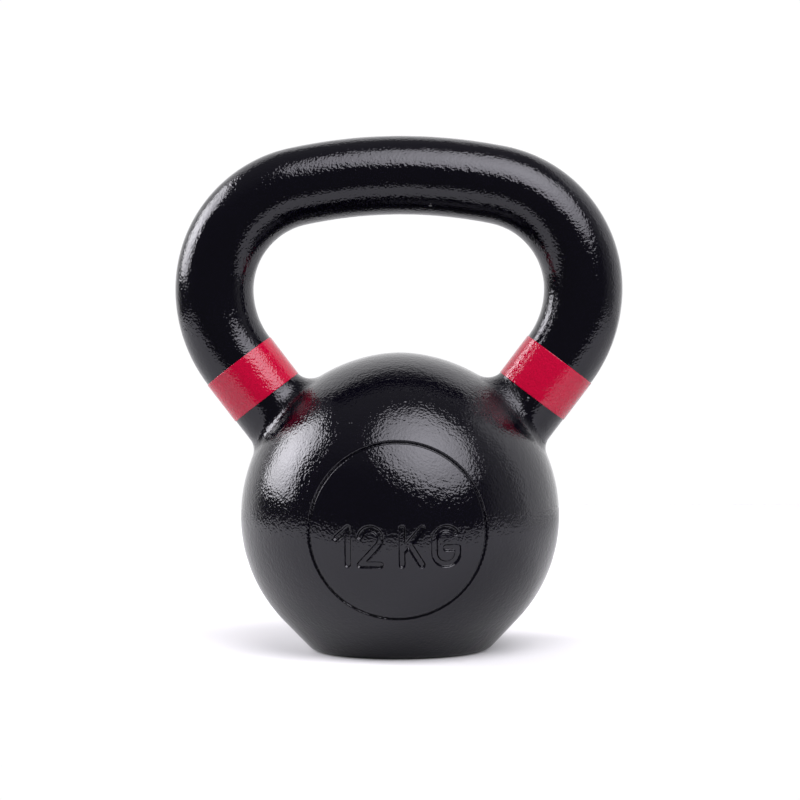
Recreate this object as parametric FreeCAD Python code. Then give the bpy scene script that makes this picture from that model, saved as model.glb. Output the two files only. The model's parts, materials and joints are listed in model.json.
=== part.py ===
import FreeCAD, Part

# A 12 kg kettlebell: one iron casting (ball, horns and handle) with a colour band round each horn.
#
# Millimetres and degrees. The origin is the centre of the flat foot, +Z is up, X runs along the grip and
# the marked face of the ball looks along -Y. But for its mark, the casting is symmetric left to right and
# front to back, so a quarter of it is modelled and mirrored twice. Angles run from +X towards +Z.

import math
import os

from FreeCAD import Vector

# The ball is turned about Z. Its outline is a cap, a side and an underside, all arcs that run smoothly into
# each other, then a straight flank down to the flat foot.
BALL_RADIUS = 69.15  # at its widest
BALL_WIDEST_HEIGHT = 58.0
BALL_TOP_HEIGHT = 129.2
SIDE_CURVE_RADIUS = 71.3  # of the outline above the widest height
UNDERSIDE_CURVE_RADIUS = 63.9  # of the outline below it
FLANK_SLOPE = 43.8  # how far the flank leans in from the vertical
FOOT_EDGE_RADIUS = 2.0

# The handle: a round bar bent in the XZ plane, from one horn over the grip to the other.
BAR_RADIUS = 16.95
GRIP_HEIGHT = 206.15  # of the bar's axis above the floor, at the middle of the grip
WIDEST_HEIGHT = 156.7  # where the two sides of the handle are furthest apart
WIDEST_HALF_SPAN = 80.1  # from the middle to the bar's axis at that height
CORNER_RADIUS = 45.9  # of the bar's axis at the handle's upper corners
HORN_BEND_RADIUS = 50.9  # of the bar's axis where it turns in towards the ball
HORN_LEAN = 37.3  # between the straight horn and the vertical
HORN_LENGTH = 52.0  # of the straight horn, down to its end inside the ball

# The fillet between horn and ball is largest in the window and smallest on the outside.
FILLET_IN_WINDOW = 7.4
FILLET_OUTSIDE = 3.4

# A colour band coats the upper end of each straight horn.
BAND_LENGTH = 20.0
BAND_THICKNESS = 0.3

# The mark on the front: a round groove with the weight inside, all cut to one depth.
MARK_DEPTH = 0.8
RING_CENTRE_HEIGHT = 56.4
RING_RADIUS = 36.9
RING_WIDTH = 1.4
WEIGHT_TEXT = "12 KG"
LETTERS_CENTRE_HEIGHT = 50.5
LETTER_HEIGHT = 15.0
LETTER_STROKE = 2.4
LETTER_GAP = 5.2  # between the centre lines of one letter's last stroke and the next letter's first
WORD_GAP = 9.0

ORIGIN = Vector(0, 0, 0)
X_AXIS = Vector(1, 0, 0)
Y_AXIS = Vector(0, 1, 0)
Z_AXIS = Vector(0, 0, 1)


def at(x, z):
    """A point of the XZ plane."""
    return Vector(x, 0, z)


def around(centre, radius, degrees):
    """The point of a circle in the XZ plane at an angle."""
    angle = math.radians(degrees)
    return centre + at(radius * math.cos(angle), radius * math.sin(angle))


def line(start, end):
    return Part.LineSegment(start, end).toShape()


def arc(centre, radius, start, end):
    """The stretch of that circle from one angle to another."""
    middle = (start + end) / 2
    points = [around(centre, radius, degrees) for degrees in (start, middle, end)]
    return Part.Arc(*points).toShape()


def cap_radius():
    """The radius of the arc that is level at the ball's top and runs smoothly into the side's arc."""
    rise = BALL_TOP_HEIGHT - BALL_WIDEST_HEIGHT
    overhang = SIDE_CURVE_RADIUS - BALL_RADIUS
    return (SIDE_CURVE_RADIUS**2 - rise**2 - overhang**2) / (2 * (SIDE_CURVE_RADIUS - rise))


def side_centre():
    """The centre of the arc that draws the ball's side."""
    return at(BALL_RADIUS - SIDE_CURVE_RADIUS, BALL_WIDEST_HEIGHT)


def ball_sector(coat, degrees):
    """The ball turned through an angle from the XZ plane, with its skin moved outward by the coat."""
    cap_centre = at(0, BALL_TOP_HEIGHT - cap_radius())
    underside_centre = at(BALL_RADIUS - UNDERSIDE_CURVE_RADIUS, BALL_WIDEST_HEIGHT)
    towards_cap = cap_centre - side_centre()
    side_end = math.degrees(math.atan2(towards_cap.z, towards_cap.x))
    flank_top = around(underside_centre, UNDERSIDE_CURVE_RADIUS + coat, -FLANK_SLOPE)
    slope = math.radians(FLANK_SLOPE)
    sharp_foot_radius = flank_top.x - flank_top.z * math.tan(slope)
    rounding_reach = FOOT_EDGE_RADIUS * math.tan((math.pi / 2 - slope) / 2)
    rim_centre = at(sharp_foot_radius - rounding_reach, FOOT_EDGE_RADIUS)
    outline = Part.Wire([
        line(ORIGIN, around(rim_centre, FOOT_EDGE_RADIUS, -90)),
        arc(rim_centre, FOOT_EDGE_RADIUS, -90, -FLANK_SLOPE),
        line(around(rim_centre, FOOT_EDGE_RADIUS, -FLANK_SLOPE), flank_top),
        arc(underside_centre, UNDERSIDE_CURVE_RADIUS + coat, -FLANK_SLOPE, 0),
        arc(side_centre(), SIDE_CURVE_RADIUS + coat, 0, side_end),
        arc(cap_centre, cap_radius() + coat, side_end, 90),
        line(at(0, BALL_TOP_HEIGHT + coat), ORIGIN),
    ])
    return Part.Face(outline).revolve(ORIGIN, Z_AXIS, degrees)


def half_section(centre, outward, radius):
    """The half of the bar's round section where y is positive, in the plane of Y and outward."""
    outer = centre + outward * radius
    inner = centre - outward * radius
    side = centre + Y_AXIS * radius
    return Part.Face(Part.Wire([Part.Arc(outer, side, inner).toShape(), line(inner, outer)]))


def bent_bar(centre, bend_radius, start, end, radius):
    """The back half of a stretch of bar whose axis is an arc in the XZ plane."""
    section = half_section(around(centre, bend_radius, start), around(ORIGIN, 1, start), radius)
    return section.revolve(centre, Y_AXIS, start - end)


def horn_top():
    """The point on the bar's axis where the lower bend turns into the straight horn on the right."""
    return around(at(WIDEST_HALF_SPAN - HORN_BEND_RADIUS, WIDEST_HEIGHT), HORN_BEND_RADIUS, -HORN_LEAN)


def horn_direction():
    """Down the right horn, towards the ball."""
    return around(ORIGIN, 1, -90 - HORN_LEAN)


def quarter_bar(coat):
    """The quarter of the handle where x and y are positive, as tangent bends and a straight horn."""
    radius = BAR_RADIUS + coat
    corner_centre = at(WIDEST_HALF_SPAN - CORNER_RADIUS, WIDEST_HEIGHT)
    bend_centre = at(WIDEST_HALF_SPAN - HORN_BEND_RADIUS, WIDEST_HEIGHT)
    # The grip is level in the middle, and its arc is tangent to the corner's.
    rise = GRIP_HEIGHT - WIDEST_HEIGHT
    grip_radius = (corner_centre.x**2 + rise**2 - CORNER_RADIUS**2) / (2 * (rise - CORNER_RADIUS))
    grip_centre = at(0, GRIP_HEIGHT - grip_radius)
    towards_corner = corner_centre - grip_centre
    grip_end = math.degrees(math.atan2(towards_corner.z, towards_corner.x))
    grip = bent_bar(grip_centre, grip_radius, 90, grip_end, radius)
    corner = bent_bar(corner_centre, CORNER_RADIUS, grip_end, 0, radius)
    lower_bend = bent_bar(bend_centre, HORN_BEND_RADIUS, 0, -HORN_LEAN, radius)
    horn_section = half_section(horn_top(), around(ORIGIN, 1, -HORN_LEAN), radius)
    horn = horn_section.extrude(horn_direction() * HORN_LENGTH)
    return grip.fuse([corner, lower_bend, horn])


def is_horn_root(edge, coat):
    """Whether the middle of the edge lies on the ball's side and on the straight horn's skin."""
    tolerance = 0.05
    middle = edge.valueAt((edge.FirstParameter + edge.LastParameter) / 2)
    from_horn_top = middle - horn_top()
    from_horn_axis = from_horn_top - horn_direction() * from_horn_top.dot(horn_direction())
    unturned = at(math.hypot(middle.x, middle.y), middle.z)
    on_ball = abs((unturned - side_centre()).Length - SIDE_CURVE_RADIUS - coat) < tolerance
    on_horn = abs(from_horn_axis.Length - BAR_RADIUS - coat) < tolerance
    return on_ball and on_horn


def quarter_casting(coat=0.0):
    """Ball and bar joined, with the fillet round the horn. A coat moves the skin outward by its thickness."""
    joined = ball_sector(coat, 90).fuse(quarter_bar(coat)).removeSplitter()
    root = next(edge for edge in joined.Edges if is_horn_root(edge, coat))
    start = root.valueAt(root.FirstParameter)
    end = root.valueAt(root.LastParameter)
    in_window = FILLET_IN_WINDOW - coat
    outside = FILLET_OUTSIDE - coat
    if start.z > end.z:
        return joined.makeFillet(in_window, outside, [root])
    return joined.makeFillet(outside, in_window, [root])


def with_mirror_image(shape, normal):
    """The shape joined with its mirror image in a plane through the origin."""
    return shape.fuse(shape.mirror(ORIGIN, normal)).removeSplitter()


def straight_stroke(start, end):
    """The face of a straight stroke with round ends."""
    along = (end - start).normalize() * LETTER_STROKE / 2
    side = along.cross(Y_AXIS)
    return Part.Face(Part.Wire([
        line(start + side, end + side),
        Part.Arc(end + side, end + along, end - side).toShape(),
        line(end - side, start - side),
        Part.Arc(start - side, start - along, start + side).toShape(),
    ]))


def curved_stroke(centre, radius, start, end):
    """The face of a stroke along an arc, with round ends."""
    half = LETTER_STROKE / 2
    turn = math.copysign(90, end - start)
    start_cap = around(around(centre, radius, start), half, start - turn)
    end_cap = around(around(centre, radius, end), half, end + turn)
    outer = arc(centre, radius + half, start, end)
    inner = arc(centre, radius - half, end, start)
    return Part.Face(Part.Wire([
        outer,
        Part.Arc(outer.lastVertex().Point, end_cap, inner.firstVertex().Point).toShape(),
        inner,
        Part.Arc(inner.lastVertex().Point, start_cap, outer.firstVertex().Point).toShape(),
    ]))


def letter_1():
    width = 0.3 * LETTER_HEIGHT
    top = at(width, LETTER_HEIGHT)
    return width, [straight_stroke(at(width, 0), top), straight_stroke(top, at(0, 0.74 * LETTER_HEIGHT))]


def letter_2():
    width = 0.56 * LETTER_HEIGHT
    radius = width / 2
    bowl_centre = at(radius, LETTER_HEIGHT - radius)
    bowl_end = -38
    return width, [
        curved_stroke(bowl_centre, radius, 165, bowl_end),
        straight_stroke(around(bowl_centre, radius, bowl_end), at(0, 0)),
        straight_stroke(at(0, 0), at(width, 0)),
    ]


def letter_k():
    width = 0.55 * LETTER_HEIGHT
    arm_foot = 0.36 * LETTER_HEIGHT
    branch = 0.35  # the share of the arm below the point where the leg leaves it
    leg_top = at(branch * width, arm_foot + branch * (LETTER_HEIGHT - arm_foot))
    return width, [
        straight_stroke(at(0, 0), at(0, LETTER_HEIGHT)),
        straight_stroke(at(0, arm_foot), at(width, LETTER_HEIGHT)),
        straight_stroke(leg_top, at(width, 0)),
    ]


def letter_g():
    width = 0.64 * LETTER_HEIGHT
    radius = width / 2
    bar_height = 0.46 * LETTER_HEIGHT
    return width, [
        curved_stroke(at(radius, LETTER_HEIGHT - radius), radius, 40, 180),
        straight_stroke(at(0, LETTER_HEIGHT - radius), at(0, radius)),
        curved_stroke(at(radius, radius), radius, 180, 360),
        straight_stroke(at(width, radius), at(width, bar_height)),
        straight_stroke(at(width, bar_height), at(radius, bar_height)),
    ]


LETTERS = {"1": letter_1, "2": letter_2, "K": letter_k, "G": letter_g}


def weight_strokes():
    """The faces of every stroke of the weight, centred left to right on the ball."""
    faces = []
    pen = 0
    for character in WEIGHT_TEXT:
        if character == " ":
            pen += WORD_GAP - LETTER_GAP
            continue
        width, strokes = LETTERS[character]()
        faces += [stroke.translated(at(pen, 0)) for stroke in strokes]
        pen += width + LETTER_GAP
    text_width = pen - LETTER_GAP
    corner = at(-text_width / 2, LETTERS_CENTRE_HEIGHT - LETTER_HEIGHT / 2)
    return [face.translated(corner) for face in faces]


def disc(centre, radius):
    """A round face in the XZ plane."""
    return Part.Face(Part.Wire([Part.Circle(centre, Y_AXIS, radius).toShape()]))


def mark_cutter():
    """What is cut out of the front: ring and strokes run in along Y, down to the mark's depth."""
    ring_centre = at(0, RING_CENTRE_HEIGHT)
    inside_ring = disc(ring_centre, RING_RADIUS - RING_WIDTH / 2)
    ring = disc(ring_centre, RING_RADIUS + RING_WIDTH / 2).cut(inside_ring)
    reach = Vector(0, -BALL_RADIUS - 1, 0)
    prisms = [face.extrude(reach) for face in [ring, *weight_strokes()]]
    return prisms[0].fuse(prisms[1:]).cut(ball_sector(-MARK_DEPTH, 360))


def make_casting():
    quarter = quarter_casting()
    blank = with_mirror_image(with_mirror_image(quarter, Y_AXIS), X_AXIS)
    return blank.cut(mark_cutter())


def make_right_band():
    """The coat on the upper end of the right horn, between two planes square to the horn."""
    slab = Part.makeCylinder(1.5 * BAR_RADIUS, BAND_LENGTH, horn_top(), horn_direction())
    back_half = quarter_casting(BAND_THICKNESS).common(slab).cut(quarter_casting())
    return with_mirror_image(back_half, Y_AXIS)


def write(name, shape):
    """Writes one solid to its STEP file, after making sure that it is one."""
    if not shape.isValid() or len(shape.Solids) != 1:
        raise ValueError(f"{name} is not one valid solid")
    solid = shape.Solids[0]
    solid.exportStep(f"parts/{name}.step")
    print(f"{name}: {solid.Volume / 1000:.2f} cm3, {len(solid.Faces)} faces")


def main():
    os.makedirs("parts", exist_ok=True)
    right_band = make_right_band()
    write("iron_casting", make_casting())
    write("right_colour_band", right_band)
    write("left_colour_band", right_band.mirror(ORIGIN, X_AXIS))


main()
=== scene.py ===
"""A gloss black 12 kg cast-iron kettlebell with two red colour bands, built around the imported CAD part.

The casting is one even mesh drawn onto the same skin that the CAD solid has: a turned ball with a
flat foot, a bent bar and a fillet between them. The recessed mark, the parting line and the slight
unevenness of a sand casting are moved into that mesh. Lengths are in metres.
"""
import json
import math

import bmesh
import bpy
import numpy as np
from mathutils import Matrix, Vector, noise


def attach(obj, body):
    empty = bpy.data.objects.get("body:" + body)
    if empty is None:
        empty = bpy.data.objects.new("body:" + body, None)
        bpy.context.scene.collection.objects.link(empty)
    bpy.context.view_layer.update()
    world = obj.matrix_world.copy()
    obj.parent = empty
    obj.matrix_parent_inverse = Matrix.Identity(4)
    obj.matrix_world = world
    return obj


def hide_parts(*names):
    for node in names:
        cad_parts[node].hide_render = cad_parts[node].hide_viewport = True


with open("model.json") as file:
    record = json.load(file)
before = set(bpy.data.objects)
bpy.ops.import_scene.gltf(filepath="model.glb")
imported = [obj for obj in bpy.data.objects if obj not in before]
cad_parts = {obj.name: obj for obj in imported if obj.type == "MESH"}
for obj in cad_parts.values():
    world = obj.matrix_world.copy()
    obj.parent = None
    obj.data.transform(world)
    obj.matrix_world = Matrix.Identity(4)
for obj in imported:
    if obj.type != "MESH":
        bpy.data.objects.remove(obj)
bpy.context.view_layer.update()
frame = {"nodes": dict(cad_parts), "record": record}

MM = 0.001

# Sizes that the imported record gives
RECORD = frame["record"]
OVERALL_WIDTH, OVERALL_DEPTH, OVERALL_HEIGHT = RECORD["size"]["bbox_m"]
GRIP_HEIGHT = next(m["pos_m"][2] for m in RECORD["mounts"] if m["name"] == "grip")
BAR_RADIUS = OVERALL_HEIGHT - GRIP_HEIGHT
BALL_RADIUS = OVERALL_DEPTH / 2
WIDEST_HALF_SPAN = OVERALL_WIDTH / 2 - BAR_RADIUS

# Design sizes of the casting, the same as in the CAD source
BALL_WIDEST_HEIGHT = 58 * MM
BALL_TOP_HEIGHT = 129.2 * MM
SIDE_CURVE_RADIUS = 71.3 * MM
UNDERSIDE_CURVE_RADIUS = 63.9 * MM
FLANK_SLOPE = math.radians(43.8)
FOOT_EDGE_RADIUS = 2 * MM
WIDEST_HEIGHT = 156.7 * MM
CORNER_RADIUS = 45.9 * MM
HORN_BEND_RADIUS = 50.9 * MM
HORN_LEAN = math.radians(37.3)
HORN_LENGTH = 52 * MM
FILLET_IN_WINDOW = 7.4 * MM
FILLET_OUTSIDE = 3.4 * MM
BAND_LENGTH = 20 * MM

# The recessed mark on the ball's front: a ring round the weight. Its walls are soft, so it is a little
# deeper than in the CAD source, and its ring is wider.
LETTER_DEPTH = 1.0 * MM
RING_DEPTH = 1.15 * MM
LETTER_EDGE_SOFTNESS = 0.4 * MM
RING_CENTRE_HEIGHT = 56.4 * MM
RING_RADIUS = 36.9 * MM
RING_WIDTH = 1.8 * MM
WEIGHT_TEXT = "12 KG"
LETTERS_CENTRE_HEIGHT = 50.5 * MM
LETTER_HEIGHT = 15 * MM
LETTER_STROKE = 2.4 * MM
LETTER_GAP = 5.2 * MM
WORD_GAP = 9 * MM

# How a sand casting differs from its drawing: (wavelength, height) of its waves, and the parting line
CASTING_WAVES = ((26 * MM, 0.05 * MM), (9 * MM, 0.03 * MM), (4 * MM, 0.014 * MM))
PARTING_RIDGE_HEIGHT = 0.09 * MM
PARTING_RIDGE_HALF_WIDTH = 0.8 * MM

# Mesh of the casting: its spacing, and how near the mark's walls each halving of that spacing reaches
EVEN_MESH_SIZE = 1.7 * MM
MARK_REFINEMENTS = (2.3 * MM, 1.05 * MM, 0.43 * MM)

# A colour band: a thin sleeve that stands a little proud of the casting and reaches a little into it
BAND_PROUD = 0.26 * MM
BAND_EMBEDDED = 0.5 * MM
BAND_EDGE_ROUNDING = 0.25 * MM
BAND_STEPS_ROUND = 288
BAND_STEPS_ALONG = 56
BAND_STEPS_ALONG_INSIDE = 14
BAND_EDGE_STEPS = 5

# Enamel: its ripples are (scale, height)
ENAMEL_IOR = 1.52
ENAMEL_TINT = (0.93, 0.92, 1.0, 1)
CLOUD_SCALE = 45.0
BLACK_DARK = (0.0012, 0.0009, 0.0031, 1)
BLACK_LIGHT = (0.0018, 0.0015, 0.0038, 1)
BLACK_ROUGHNESS = (0.04, 0.07)
BLACK_RIPPLES = ((330.0, 0.10 * MM), (1000.0, 0.13 * MM))
RED_DARK = (0.47, 0.001, 0.030, 1)
RED_LIGHT = (0.51, 0.001, 0.036, 1)
RED_ROUGHNESS = (0.05, 0.09)
RED_RIPPLES = ((330.0, 0.12 * MM), (1000.0, 0.17 * MM))

# Grains of sand under the enamel: cells per metre, the grain's share of its cell, and how high it is
GRAIN_SCALE = 42.0
GRAIN_RADIUS = 0.042
GRAIN_HEIGHT = 0.3 * MM

# The duller shoulders: where they fade in and out, how dull each side is, and how rough that makes it
SHOULDER_INNER_EDGE = (26 * MM, 34 * MM)
SHOULDER_OUTER_EDGE = (56 * MM, 50 * MM)
SHOULDER_LOWER_EDGE = (99 * MM, 106 * MM)
SHOULDER_UPPER_EDGE = (120 * MM, 114 * MM)
SHOULDER_MIDDLE = (-20 * MM, 20 * MM)
SHOULDER_LEFT_SHARE = 0.6
SHOULDER_RIGHT_SHARE = 1.8
SHOULDER_ROUGHNESS = 0.16

# The floor's colour in reflections, its painted shadow near the foot and its plain colour further away
FLOOR_FRONT, FLOOR_BACK, FLOOR_HALF_WIDTH = -0.30, 0.85, 0.85
FLOOR_REFLECTED = (0.68, 0.68, 0.69, 1)
FLOOR_PAINTED_SHADOW = (0.83, 0.82, 0.85, 1)
FLOOR_FAR = (0.97, 0.96, 0.99, 1)
PAINTED_SHADOW_FADE = (0.07, 0.17)
FLOOR_HAZE = 0.10
HAZE_COLOUR = (0.97, 0.96, 1, 1)

# Lamps: places as azimuth and elevation in degrees and distance, glows as (edge, core, spread)
LIGHT_TARGET = Vector((0, 0, 0.09))
LAMP_COLOUR = (0.99, 0.98, 1, 1)
SOFTBOX_PLACE = (-101, 27, 1.5)
SOFTBOX_CORNERS = ((-0.33, -0.34), (0.29, -0.34), (0.29, 0.35), (-0.33, 0.38))  # at 1 m
SOFTBOX_GLOW = (6.2, 11.5, 0.30)
OCTABOX_PLACE = (28, 49, 1.4)
OCTABOX_HALF_SIZES = (0.72, 0.53)  # along and across, at 1 m
OCTABOX_GLOW = (3.0, 6.4, 0.60)
OCTABOX_TILT = math.radians(-45)

# The room as reflections see it: dark, lighter overhead, with white walls behind and a dimmer one at the
# right. Walls end at cosines of the angle from their middle, heights are sines of the elevation.
ROOM_COLOUR = (0.99, 0.985, 1, 1)
ROOM_LEVELS = (0.085, 0.19)
ROOM_LEVEL_HEIGHTS = (0.5, 0.95)
BACKDROP_AZIMUTH = 166
BACKDROP_EDGE = (0.22, 0.50)
RIGHT_WALL_AZIMUTH = 110
RIGHT_WALL_EDGE = (0.62, 0.93)
RIGHT_WALL_LEVEL = 0.4
WALL_TOP = (0.84, 0.72)
WHITE_SEEN_BY_CAMERA = 1.03

# The camera stands where the photographer did. Angles are in degrees.
CAMERA_DISTANCE = 1.2
CAMERA_LENS = 124.18
CAMERA_SENSOR = 36
CAMERA_AZIMUTH = 1.07
CAMERA_ELEVATION = 1.94
CAMERA_ROLL = -0.35
CAMERA_ORBIT_CENTRE = Vector((0, 0, 0.110))
CAMERA_AIM = Vector((0.0003, 0, 0.1086))


# ---------------------------------------------------------------- the skin's outline

def smooth_step(share):
    """A share from 0 to 1 with its ends eased."""
    share = np.clip(share, 0, 1)
    return share * share * (3 - 2 * share)


def polar(centre, radius, angle):
    """The point at that angle on a circle."""
    return np.array(centre) + radius * np.array((math.cos(angle), math.sin(angle)))


SIDE_CENTRE = np.array((BALL_RADIUS - SIDE_CURVE_RADIUS, BALL_WIDEST_HEIGHT))
UNDERSIDE_CENTRE = np.array((BALL_RADIUS - UNDERSIDE_CURVE_RADIUS, BALL_WIDEST_HEIGHT))
CAP_RISE = BALL_TOP_HEIGHT - BALL_WIDEST_HEIGHT
CAP_RADIUS = ((SIDE_CURVE_RADIUS ** 2 - CAP_RISE ** 2 - SIDE_CENTRE[0] ** 2)
              / (2 * (SIDE_CURVE_RADIUS - CAP_RISE)))
CAP_CENTRE = np.array((0, BALL_TOP_HEIGHT - CAP_RADIUS))
CAP_START = math.atan2(*(CAP_CENTRE - SIDE_CENTRE)[::-1])

GRIP_RISE = GRIP_HEIGHT - WIDEST_HEIGHT
CORNER_CENTRE = np.array((WIDEST_HALF_SPAN - CORNER_RADIUS, WIDEST_HEIGHT))
HORN_BEND_CENTRE = np.array((WIDEST_HALF_SPAN - HORN_BEND_RADIUS, WIDEST_HEIGHT))
GRIP_ARC_RADIUS = ((CORNER_CENTRE[0] ** 2 + GRIP_RISE ** 2 - CORNER_RADIUS ** 2)
                   / (2 * (GRIP_RISE - CORNER_RADIUS)))
GRIP_ARC_CENTRE = np.array((0, GRIP_HEIGHT - GRIP_ARC_RADIUS))
GRIP_ARC_END = math.atan2(*(CORNER_CENTRE - GRIP_ARC_CENTRE)[::-1])
HORN_TOP = polar(HORN_BEND_CENTRE, HORN_BEND_RADIUS, -HORN_LEAN)
HORN_DIRECTION = np.array((-math.sin(HORN_LEAN), -math.cos(HORN_LEAN)))
TOWARDS_WINDOW = np.array((-math.cos(HORN_LEAN), math.sin(HORN_LEAN)))


def segment_distance(points, start, end):
    """Distance from points in a plane to a straight segment."""
    along = np.subtract(end, start)
    share = np.clip((points - start) @ along / (along @ along), 0, 1)
    return np.linalg.norm(points - start - share[:, None] * along, axis=1)


def arc_distance(points, centre, radius, start, end):
    """Distance from points in a plane to an arc that turns left from angle start to angle end."""
    offset = points - np.asarray(centre)
    turned = (np.arctan2(offset[:, 1], offset[:, 0]) - start) % (2 * math.pi)
    to_arc = np.abs(np.linalg.norm(offset, axis=1) - radius)
    to_start = np.linalg.norm(points - polar(centre, radius, start), axis=1)
    to_end = np.linalg.norm(points - polar(centre, radius, end), axis=1)
    return np.where(turned <= end - start, to_arc, np.minimum(to_start, to_end))


def side_plane(points):
    """Points folded onto the right half of the drawing plane: distance from the middle, and height."""
    return np.column_stack((np.abs(points[:, 0]), points[:, 2]))


def ball_distance(points):
    """Signed distance to the ball: cap, side and underside arcs, a straight flank and a rounded edge."""
    outline = np.column_stack((np.hypot(points[:, 0], points[:, 1]), points[:, 2]))
    cap = outline - CAP_CENTRE
    side = outline - SIDE_CENTRE
    underside = outline - UNDERSIDE_CENTRE
    flank = underside @ (math.cos(FLANK_SLOPE), -math.sin(FLANK_SLOPE)) - UNDERSIDE_CURVE_RADIUS
    skin = np.select(
        (np.arctan2(cap[:, 1], cap[:, 0]) > CAP_START,
         side[:, 1] > 0,
         np.arctan2(underside[:, 1], underside[:, 0]) > -FLANK_SLOPE),
        (np.linalg.norm(cap, axis=1) - CAP_RADIUS,
         np.linalg.norm(side, axis=1) - SIDE_CURVE_RADIUS,
         np.linalg.norm(underside, axis=1) - UNDERSIDE_CURVE_RADIUS),
        flank)
    under = -points[:, 2]
    past_skin = np.maximum(skin + FOOT_EDGE_RADIUS, 0)
    past_foot = np.maximum(under + FOOT_EDGE_RADIUS, 0)
    return np.minimum(np.maximum(skin, under), -FOOT_EDGE_RADIUS) + np.hypot(past_skin, past_foot)


def bar_distance(points):
    """Signed distance to the bent bar: grip, corners, bends and straight horns."""
    flat = side_plane(points)
    horn_end = HORN_TOP + HORN_LENGTH * HORN_DIRECTION
    line = np.minimum.reduce((
        arc_distance(flat, GRIP_ARC_CENTRE, GRIP_ARC_RADIUS, GRIP_ARC_END, math.pi / 2),
        arc_distance(flat, CORNER_CENTRE, CORNER_RADIUS, 0, GRIP_ARC_END),
        arc_distance(flat, HORN_BEND_CENTRE, HORN_BEND_RADIUS, -HORN_LEAN, 0),
        segment_distance(flat, HORN_TOP, horn_end)))
    return np.hypot(line, points[:, 1]) - BAR_RADIUS


def skin_distance(points):
    """Signed distance to the casting's skin, whose fillet is largest on the window's side of a horn."""
    ball = ball_distance(points)
    bar = bar_distance(points)
    side = (side_plane(points) - HORN_TOP) @ TOWARDS_WINDOW
    turn = side / (np.hypot(side, points[:, 1]) + 1e-12)
    fillet = FILLET_OUTSIDE + (FILLET_IN_WINDOW - FILLET_OUTSIDE) * (1 + turn) / 2
    blend = np.hypot(np.maximum(fillet - ball, 0), np.maximum(fillet - bar, 0))
    return np.maximum(fillet, np.minimum(ball, bar)) - blend


def skin_normals(points, step=0.02 * MM):
    """Unit normals of the skin, from differences of its distance."""
    normals = np.column_stack([
        skin_distance(points + step * axis) - skin_distance(points - step * axis)
        for axis in np.eye(3)])
    return normals / np.linalg.norm(normals, axis=1, keepdims=True)


def onto_skin(points, rounds=4):
    """Points moved along the normals until they lie on the skin."""
    for _ in range(rounds):
        points = points - skin_distance(points)[:, None] * skin_normals(points)
    return points


# ---------------------------------------------------------------- the recessed mark

def line(start, end):
    """A straight stroke, as the function that gives points' distances from it."""
    return lambda points: segment_distance(points, np.array(start), np.array(end))


def arc(centre, radius, start_degrees, end_degrees):
    """A curved stroke, as the function that gives points' distances from it."""
    start, end = math.radians(start_degrees), math.radians(end_degrees)
    return lambda points: arc_distance(points, np.array(centre), radius, start, end)


def numeral_one():
    width = 0.3 * LETTER_HEIGHT
    return width, [line((width, 0), (width, LETTER_HEIGHT)),
                   line((width, LETTER_HEIGHT), (0, 0.74 * LETTER_HEIGHT))]


def numeral_two():
    width = 0.56 * LETTER_HEIGHT
    radius = width / 2
    bowl_centre = (radius, LETTER_HEIGHT - radius)
    bowl_end = -38
    return width, [arc(bowl_centre, radius, bowl_end, 165),
                   line(polar(bowl_centre, radius, math.radians(bowl_end)), (0, 0)),
                   line((0, 0), (width, 0))]


def letter_k():
    width = 0.55 * LETTER_HEIGHT
    arm_foot = 0.36 * LETTER_HEIGHT
    branch = 0.35  # the share of the arm below the point where the leg leaves it
    leg_top = (branch * width, arm_foot + branch * (LETTER_HEIGHT - arm_foot))
    return width, [line((0, 0), (0, LETTER_HEIGHT)),
                   line((0, arm_foot), (width, LETTER_HEIGHT)),
                   line(leg_top, (width, 0))]


def letter_g():
    width = 0.64 * LETTER_HEIGHT
    radius = width / 2
    bar_height = 0.46 * LETTER_HEIGHT
    return width, [arc((radius, LETTER_HEIGHT - radius), radius, 40, 180),
                   line((0, LETTER_HEIGHT - radius), (0, radius)),
                   arc((radius, radius), radius, 180, 360),
                   line((width, radius), (width, bar_height)),
                   line((width, bar_height), (radius, bar_height))]


LETTERS = {"1": numeral_one, "2": numeral_two, "K": letter_k, "G": letter_g}


def placed_letters():
    """Each letter of the weight as (left edge, strokes), with the whole text centred on the ball."""
    placed = []
    pen = 0
    for character in WEIGHT_TEXT:
        if character == " ":
            pen += WORD_GAP - LETTER_GAP
            continue
        width, strokes = LETTERS[character]()
        placed.append((pen, strokes))
        pen += width + LETTER_GAP
    middle = (pen - LETTER_GAP) / 2
    return [(left - middle, strokes) for left, strokes in placed]


def ring_distance(points):
    """Distance from points on the ball's front to the middle of the ring's groove."""
    from_centre = np.linalg.norm(points[:, (0, 2)] - (0, RING_CENTRE_HEIGHT), axis=1)
    return np.abs(from_centre - RING_RADIUS)


def letters_edge_distance(points):
    """Distance from points on the ball's front to the letters' edges, negative inside a stroke."""
    nearest = np.full(len(points), BALL_RADIUS)
    base = LETTERS_CENTRE_HEIGHT - LETTER_HEIGHT / 2
    for left, strokes in placed_letters():
        local = points[:, (0, 2)] - (left, base)
        for stroke in strokes:
            nearest = np.minimum(nearest, stroke(local) - LETTER_STROKE / 2)
    return nearest


def mark_depth(points):
    """How deep the mark is cut at points on the skin: flat letters with soft walls, a round groove."""
    letters = smooth_step(0.5 - letters_edge_distance(points) / (2 * LETTER_EDGE_SOFTNESS))
    ring = smooth_step(1 - ring_distance(points) / (RING_WIDTH / 2))
    depth = np.maximum(LETTER_DEPTH * letters, RING_DEPTH * ring)
    return np.where(points[:, 1] < 0, depth, 0)


def mark_nearness(points):
    """Distance from points to the nearest wall of the mark."""
    ring_wall = np.abs(ring_distance(points) - RING_WIDTH / 2)
    nearest = np.minimum(ring_wall, np.abs(letters_edge_distance(points)))
    return np.where(points[:, 1] < 0, nearest, BALL_RADIUS)


# ---------------------------------------------------------------- the casting

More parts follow.
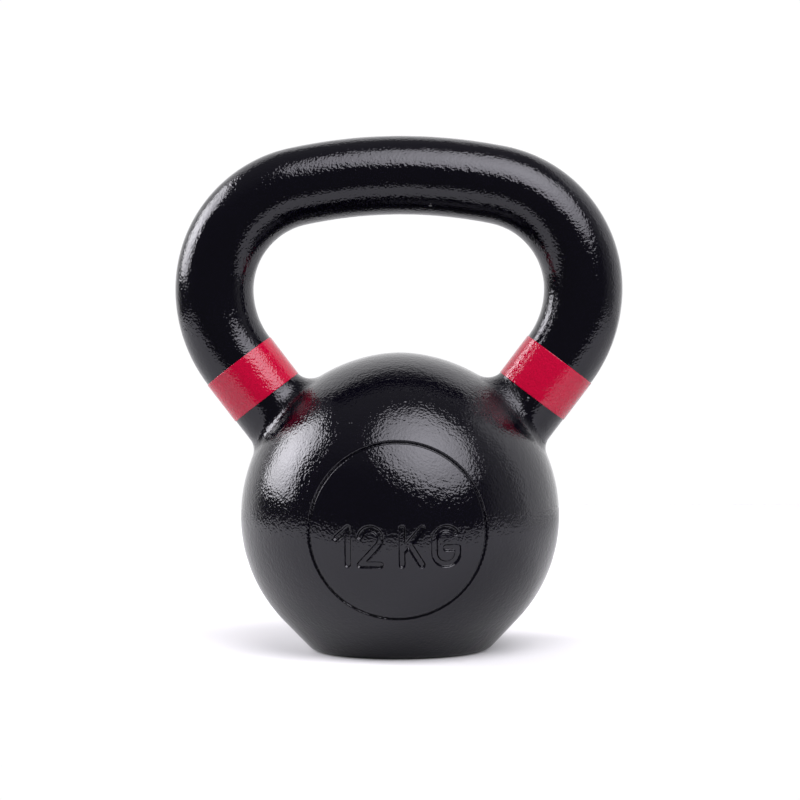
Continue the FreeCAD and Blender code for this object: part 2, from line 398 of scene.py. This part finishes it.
def casting_waves(points):
    """Height of the casting's own unevenness at points on the skin."""
    height = np.zeros(len(points))
    for wavelength, amplitude in CASTING_WAVES:
        height += amplitude * np.array([noise.noise(Vector(p)) for p in points / wavelength])
    return height


def parting_ridge(points):
    """Height of the faint line where the two halves of the mould met."""
    return PARTING_RIDGE_HEIGHT * np.exp(-(points[:, 1] / PARTING_RIDGE_HALF_WIDTH) ** 2)


def cast_surface(points):
    """Points on the smooth skin moved to where the real casting's surface is."""
    above_floor = smooth_step(points[:, 2] / FOOT_EDGE_RADIUS)
    height = (casting_waves(points) + parting_ridge(points)) * above_floor - mark_depth(points)
    return points + height[:, None] * skin_normals(points)


def vertex_array(mesh):
    """The mesh's points, one to a row."""
    flat = np.empty(len(mesh.vertices) * 3)
    mesh.vertices.foreach_get("co", flat)
    return flat.reshape(-1, 3)


def even_mesh(node):
    """A copy of a CAD node's mesh with evenly spaced points."""
    source = bpy.data.objects.new("even_source", frame["nodes"][node].data.copy())
    bpy.context.scene.collection.objects.link(source)
    remesh = source.modifiers.new("even", "REMESH")
    remesh.mode = "VOXEL"
    remesh.voxel_size = EVEN_MESH_SIZE
    depsgraph = bpy.context.evaluated_depsgraph_get()
    mesh = bpy.data.meshes.new_from_object(source.evaluated_get(depsgraph))
    bpy.data.objects.remove(source)
    return mesh


def relaxed(points, edges, rounds=8, step=0.5):
    """Points on the skin slid towards the middle of their neighbours, so that the mesh is even."""
    count = np.bincount(edges.ravel(), minlength=len(points))[:, None]
    for _ in range(rounds):
        total = np.zeros_like(points)
        np.add.at(total, edges[:, 0], points[edges[:, 1]])
        np.add.at(total, edges[:, 1], points[edges[:, 0]])
        points = onto_skin(points + step * (total / count - points), rounds=1)
    return onto_skin(points)


def face_centres(bm):
    """The middles of the faces, one to a row."""
    return np.array([face.calc_center_median() for face in bm.faces])


def refine(bm, chosen):
    """Divides the chosen faces' edges in two, and keeps every face a triangle on the skin."""
    bm.faces.ensure_lookup_table()
    old_count = len(bm.verts)
    edges = {edge for i in np.flatnonzero(chosen) for edge in bm.faces[i].edges}
    bmesh.ops.subdivide_edges(bm, edges=list(edges), cuts=1, use_grid_fill=True)
    bmesh.ops.triangulate(bm, faces=[face for face in bm.faces if len(face.verts) > 3])
    bm.verts.ensure_lookup_table()
    new = bm.verts[old_count:]
    for vert, place in zip(new, onto_skin(np.array([vert.co for vert in new]))):
        vert.co = place


def make_casting():
    """The iron casting as one closed mesh, finest along the edges of the mark."""
    mesh = even_mesh("iron_casting")
    edges = np.empty(len(mesh.edges) * 2, int)
    mesh.edges.foreach_get("vertices", edges)
    points = relaxed(onto_skin(vertex_array(mesh)), edges.reshape(-1, 2))
    mesh.vertices.foreach_set("co", points.ravel())
    bm = bmesh.new()
    bm.from_mesh(mesh)
    bmesh.ops.triangulate(bm, faces=bm.faces)
    refine(bm, np.abs(face_centres(bm)[:, 1]) < 2 * PARTING_RIDGE_HALF_WIDTH)
    refine(bm, face_centres(bm)[:, 2] < 2 * FOOT_EDGE_RADIUS)
    for reach in MARK_REFINEMENTS:
        refine(bm, mark_nearness(face_centres(bm)) < reach)
    bm.to_mesh(mesh)
    bm.free()
    points = cast_surface(vertex_array(mesh))
    points[:, 2] = np.maximum(points[:, 2], 0)
    mesh.vertices.foreach_set("co", points.ravel())
    return add_piece("casting", mesh, "iron_casting")


# ---------------------------------------------------------------- the colour bands

def band_section():
    """The band's closed section as (place along the horn, height above the skin), its edges rounded."""
    corner = BAND_EDGE_ROUNDING
    turns = np.linspace(0, math.pi / 2, BAND_EDGE_STEPS)
    start = [(corner * (1 - math.cos(a)), BAND_PROUD - corner * (1 - math.sin(a))) for a in turns]
    places = np.linspace(corner, BAND_LENGTH - corner, BAND_STEPS_ALONG)[1:-1]
    middle = [(place, BAND_PROUD) for place in places]
    end = [(BAND_LENGTH - place, height) for place, height in reversed(start)]
    inner = [(place, -BAND_EMBEDDED) for place in np.linspace(BAND_LENGTH, 0, BAND_STEPS_ALONG_INSIDE)]
    return np.array(start + middle + end + inner)


def horn_skin(along, angle, side, rounds=8):
    """Points on the skin found by going straight out from the horn's axis."""
    axis_point = HORN_TOP + along[:, None] * HORN_DIRECTION
    out = np.column_stack((side * np.cos(angle) * TOWARDS_WINDOW[0],
                           np.sin(angle),
                           np.cos(angle) * TOWARDS_WINDOW[1]))
    start = np.column_stack((side * axis_point[:, 0], np.zeros(len(along)), axis_point[:, 1]))
    reach = np.full(len(along), BAR_RADIUS)
    for _ in range(rounds):
        reach = reach - skin_distance(start + reach[:, None] * out)
    return start + reach[:, None] * out


def make_band(name, node, side):
    """A painted band as a thin closed sleeve that follows the casting under it."""
    section = band_section()
    angles = np.linspace(0, 2 * math.pi, BAND_STEPS_ROUND, endpoint=False)
    on_skin = horn_skin(np.tile(section[:, 0], len(angles)), np.repeat(angles, len(section)), side)
    height = np.tile(section[:, 1], len(angles)) + casting_waves(on_skin) + parting_ridge(on_skin)
    points = on_skin + height[:, None] * skin_normals(on_skin)
    rows, columns = len(angles), len(section)
    faces = []
    for row in range(rows):
        for column in range(columns):
            this_row, next_row = row * columns, (row + 1) % rows * columns
            next_column = (column + 1) % columns
            faces.append((this_row + column, this_row + next_column,
                          next_row + next_column, next_row + column))
    mesh = bpy.data.meshes.new(name)
    mesh.from_pydata(points, [], faces)
    bm = bmesh.new()
    bm.from_mesh(mesh)
    bmesh.ops.recalc_face_normals(bm, faces=bm.faces)
    bm.to_mesh(mesh)
    bm.free()
    return add_piece(name, mesh, node)


def add_piece(name, mesh, node):
    """A smooth-shaded piece that stands for a CAD node and rides with it."""
    mesh.name = name
    mesh.materials.clear()
    mesh.polygons.foreach_set("use_smooth", [True] * len(mesh.polygons))
    mesh.update()
    piece = bpy.data.objects.new(name, mesh)
    bpy.context.scene.collection.objects.link(piece)
    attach(piece, "root")
    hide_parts(node)
    return piece


# ---------------------------------------------------------------- materials

class Nodes:
    """A small helper that adds nodes to a tree and links them."""

    def __init__(self, tree):
        self.tree = tree
        tree.nodes.clear()

    def add(self, kind, inputs=None, **settings):
        """A new node, with each input linked to a socket or set to a value."""
        node = self.tree.nodes.new(kind)
        for key, value in settings.items():
            setattr(node, key, value)
        for key, value in (inputs or {}).items():
            if isinstance(value, bpy.types.NodeSocket):
                self.tree.links.new(value, node.inputs[key])
            else:
                node.inputs[key].default_value = value
        return node

    def math(self, operation, *values):
        return self.add("ShaderNodeMath", dict(enumerate(values)), operation=operation).outputs[0]

    def vector_math(self, operation, *values):
        """The number that comes of an operation such as LENGTH or DOT_PRODUCT."""
        node = self.add("ShaderNodeVectorMath", dict(enumerate(values)), operation=operation)
        return node.outputs["Value"]

    def ramp(self, value, edges, levels=(0.0, 1.0)):
        """A number that goes from one level to the other as the value goes from one edge to the other."""
        node = self.add("ShaderNodeMapRange", {
            "Value": value,
            "From Min": edges[0], "From Max": edges[1],
            "To Min": levels[0], "To Max": levels[1]})
        return node.outputs["Result"]

    def mix_colours(self, share, first, second):
        node = self.add("ShaderNodeMix", {"Factor": share, "A": first, "B": second}, data_type="RGBA")
        return node.outputs["Result"]


def new_material(name):
    """A material without nodes, and the helper that adds them."""
    material = bpy.data.materials.new(name)
    material.use_nodes = True
    return material, Nodes(material.node_tree)


def enamel_bump(nodes, place, ripples, strength):
    """Orange peel and small dents of brushed-on enamel, one ripple on top of the other."""
    normal = None
    for scale, height in ripples:
        ripple = nodes.add("ShaderNodeTexNoise", {
            "Vector": place, "Scale": scale, "Detail": 1.0, "Roughness": 0.5})
        inputs = {"Height": ripple.outputs["Fac"], "Distance": height, "Strength": strength}
        if normal is not None:
            inputs["Normal"] = normal
        normal = nodes.add("ShaderNodeBump", inputs).outputs["Normal"]
    return normal


def grain_bump(nodes, place, normal):
    """A few grains of sand under the enamel, raised by less than their width."""
    cells = nodes.add("ShaderNodeTexVoronoi", {"Vector": place, "Scale": GRAIN_SCALE})
    raised = nodes.ramp(cells.outputs["Distance"], (GRAIN_RADIUS, 0.0))
    inputs = {"Height": raised, "Distance": GRAIN_HEIGHT, "Strength": 1.0, "Normal": normal}
    return nodes.add("ShaderNodeBump", inputs).outputs["Normal"]


def dull_share(nodes, place):
    """Where the brush left the enamel duller: on the ball's shoulders, beside the horns."""
    axes = nodes.add("ShaderNodeSeparateXYZ", {"Vector": place}).outputs
    aside = nodes.math("ABSOLUTE", axes["X"])
    share = nodes.ramp(axes["X"], SHOULDER_MIDDLE, (SHOULDER_LEFT_SHARE, SHOULDER_RIGHT_SHARE))
    for value, edges in ((aside, SHOULDER_INNER_EDGE), (aside, SHOULDER_OUTER_EDGE),
                         (axes["Z"], SHOULDER_LOWER_EDGE), (axes["Z"], SHOULDER_UPPER_EDGE)):
        share = nodes.math("MULTIPLY", share, nodes.ramp(value, edges))
    return share


def enamel(name, dark, light, roughness, ripples, dull=False):
    """Gloss enamel with faint clouds and orange peel, the same all over or duller on the shoulders."""
    material, nodes = new_material(name)
    place = nodes.add("ShaderNodeTexCoord").outputs["Object"]
    noise_node = nodes.add("ShaderNodeTexNoise", {"Vector": place, "Scale": CLOUD_SCALE, "Detail": 3.0})
    cloud = noise_node.outputs["Fac"]
    gloss = nodes.ramp(cloud, (0.0, 1.0), roughness)
    strength = 1.0
    if dull:
        share = dull_share(nodes, place)
        gloss = nodes.math("ADD", gloss, nodes.math("MULTIPLY", share, SHOULDER_ROUGHNESS))
        strength = nodes.math("ADD", 1.0, share)
    shader = nodes.add("ShaderNodeBsdfPrincipled", {
        "Base Color": nodes.mix_colours(cloud, dark, light),
        "Roughness": gloss,
        "IOR": ENAMEL_IOR,
        "Specular Tint": ENAMEL_TINT,
        "Normal": grain_bump(nodes, place, enamel_bump(nodes, place, ripples, strength))})
    nodes.add("ShaderNodeOutputMaterial", {"Surface": shader.outputs["BSDF"]})
    return material


def black_enamel():
    return enamel("black_enamel", BLACK_DARK, BLACK_LIGHT, BLACK_ROUGHNESS, BLACK_RIPPLES, dull=True)


def red_enamel():
    return enamel("red_enamel", RED_DARK, RED_LIGHT, RED_ROUGHNESS, RED_RIPPLES)


def pale_floor_material():
    """White paper that the camera sees lighter than reflections do, as in a bright studio, with a painted
    shadow near the foot.
    """
    material, nodes = new_material("pale_floor")
    seen = nodes.add("ShaderNodeLightPath").outputs["Is Camera Ray"]
    place = nodes.add("ShaderNodeTexCoord").outputs["Object"]
    # painted shadow: the camera sees the floor darker near the foot, fading to the plain floor further
    # away
    clear = nodes.ramp(nodes.vector_math("LENGTH", place), PAINTED_SHADOW_FADE)
    colour = nodes.mix_colours(seen, FLOOR_REFLECTED, nodes.mix_colours(clear, FLOOR_PAINTED_SHADOW, FLOOR_FAR))
    paper = nodes.add("ShaderNodeBsdfDiffuse", {"Color": colour})
    haze = nodes.add("ShaderNodeEmission", {
        "Color": HAZE_COLOUR,
        "Strength": nodes.math("MULTIPLY", seen, FLOOR_HAZE)})
    both = nodes.add("ShaderNodeAddShader", {0: paper.outputs["BSDF"], 1: haze.outputs["Emission"]})
    nodes.add("ShaderNodeOutputMaterial", {"Surface": both.outputs["Shader"]})
    return material


# ---------------------------------------------------------------- the studio

def direction(azimuth, elevation):
    """The unit vector towards an azimuth (0 is in front, 90 at the right) and elevation in degrees."""
    a, e = math.radians(azimuth), math.radians(elevation)
    return Vector((math.sin(a) * math.cos(e), -math.cos(a) * math.cos(e), math.sin(e)))


def facing_target(azimuth, elevation, distance):
    """The placement of a panel in that direction from the object, facing it, with its Y axis upwards."""
    back = direction(azimuth, elevation)
    across = Vector((0, 0, 1)).cross(back).normalized()
    up = back.cross(across)
    placed = Matrix((across, up, back)).transposed().to_4x4()
    placed.translation = LIGHT_TARGET + distance * back
    return placed


def soft_glow(nodes, edge, core, spread):
    """The strength of a lamp that is brightest in its middle, where the bulb behind the cloth is."""
    place = nodes.add("ShaderNodeTexCoord").outputs["Object"]
    away = nodes.vector_math("LENGTH", place)
    share = nodes.math("POWER", nodes.math("DIVIDE", away, spread), 2.0)
    hot = nodes.math("EXPONENT", nodes.math("MULTIPLY", share, -1.0))
    return nodes.math("ADD", nodes.math("MULTIPLY", hot, core - edge), edge)


def lamp_panel(name, corners, place, glow):
    """A flat lamp that the camera doesn't see. Its corners are given as if it stood 1 m away."""
    distance = place[-1]
    mesh = bpy.data.meshes.new(name)
    mesh.from_pydata([(distance * x, distance * y, 0) for x, y in corners], [], [range(len(corners))])
    panel = bpy.data.objects.new(name, mesh)
    panel.matrix_world = facing_target(*place)
    panel.visible_camera = False
    bpy.context.scene.collection.objects.link(panel)
    material, nodes = new_material(name)
    light = nodes.add("ShaderNodeEmission", {"Color": LAMP_COLOUR, "Strength": soft_glow(nodes, *glow)})
    nodes.add("ShaderNodeOutputMaterial", {"Surface": light.outputs["Emission"]})
    mesh.materials.append(material)


def make_left_softbox():
    lamp_panel("left_softbox", SOFTBOX_CORNERS, SOFTBOX_PLACE, SOFTBOX_GLOW)


def make_overhead_octabox():
    """An eight-sided softbox seen from the side, so that it looks longer along one of its diagonals."""
    sides = 8
    long_half, short_half = OCTABOX_HALF_SIZES
    corners = []
    for k in range(sides):
        turn = 2 * math.pi * (k + 0.5) / sides
        along, across = long_half * math.cos(turn), short_half * math.sin(turn)
        corners.append((along * math.cos(OCTABOX_TILT) - across * math.sin(OCTABOX_TILT),
                        along * math.sin(OCTABOX_TILT) + across * math.cos(OCTABOX_TILT)))
    lamp_panel("overhead_octabox", corners, OCTABOX_PLACE, OCTABOX_GLOW)


def make_floor():
    mesh = bpy.data.meshes.new("floor")
    corners = [(-FLOOR_HALF_WIDTH, FLOOR_FRONT, 0), (FLOOR_HALF_WIDTH, FLOOR_FRONT, 0),
               (FLOOR_HALF_WIDTH, FLOOR_BACK, 0), (-FLOOR_HALF_WIDTH, FLOOR_BACK, 0)]
    mesh.from_pydata(corners, [], [(0, 1, 2, 3)])
    mesh.materials.append(pale_floor_material())
    floor = bpy.data.objects.new("floor", mesh)
    bpy.context.scene.collection.objects.link(floor)


def make_world():
    """White all round to the camera. Reflections see white walls behind and a dark room in front."""
    world = bpy.data.worlds.new("studio")
    bpy.context.scene.world = world
    world.use_nodes = True
    nodes = Nodes(world.node_tree)
    towards = nodes.add("ShaderNodeTexCoord").outputs["Generated"]
    height = nodes.add("ShaderNodeSeparateXYZ", {"Vector": towards}).outputs["Z"]
    just_over_one = 1.0001  # so that nothing is divided by zero straight up and down
    level = nodes.math("SQRT", nodes.math("SUBTRACT", just_over_one, nodes.math("POWER", height, 2.0)))

    def wall(azimuth, edge, brightness):
        facing = nodes.vector_math("DOT_PRODUCT", towards, direction(azimuth, 0))
        return nodes.ramp(nodes.math("DIVIDE", facing, level), edge, (0.0, brightness))

    backdrop = wall(BACKDROP_AZIMUTH, BACKDROP_EDGE, 1.0)
    right_wall = wall(RIGHT_WALL_AZIMUTH, RIGHT_WALL_EDGE, RIGHT_WALL_LEVEL)
    walls = nodes.math("MAXIMUM", backdrop, right_wall)
    walls = nodes.math("MULTIPLY", walls, nodes.ramp(height, WALL_TOP))
    room = nodes.math("MAXIMUM", nodes.ramp(height, ROOM_LEVEL_HEIGHTS, ROOM_LEVELS), walls)
    seen = nodes.add("ShaderNodeLightPath").outputs["Is Camera Ray"]
    strength = nodes.math("MAXIMUM", room, nodes.math("MULTIPLY", seen, WHITE_SEEN_BY_CAMERA))
    light = nodes.add("ShaderNodeBackground", {"Color": ROOM_COLOUR, "Strength": strength})
    nodes.add("ShaderNodeOutputWorld", {"Surface": light.outputs["Background"]})


def make_camera():
    """The camera stands where the photographer did, and is tilted a little as theirs was."""
    data = bpy.data.cameras.new("camera")
    data.lens = CAMERA_LENS
    data.sensor_width = CAMERA_SENSOR
    camera = bpy.data.objects.new("camera", data)
    bpy.context.scene.collection.objects.link(camera)
    stand = CAMERA_ORBIT_CENTRE + CAMERA_DISTANCE * direction(CAMERA_AZIMUTH, CAMERA_ELEVATION)
    look = (CAMERA_AIM - stand).to_track_quat("-Z", "Y").to_matrix()
    roll = Matrix.Rotation(math.radians(CAMERA_ROLL), 3, "Z")
    camera.matrix_world = Matrix.Translation(stand) @ (look @ roll).to_4x4()
    bpy.context.scene.camera = camera


def main():
    make_casting().data.materials.append(black_enamel())
    red = red_enamel()
    make_band("left_band", "left_colour_band", -1).data.materials.append(red)
    make_band("right_band", "right_colour_band", 1).data.materials.append(red)
    make_floor()
    make_left_softbox()
    make_overhead_octabox()
    make_world()
    make_camera()
    bpy.context.scene.view_settings.view_transform = "Standard"


main()
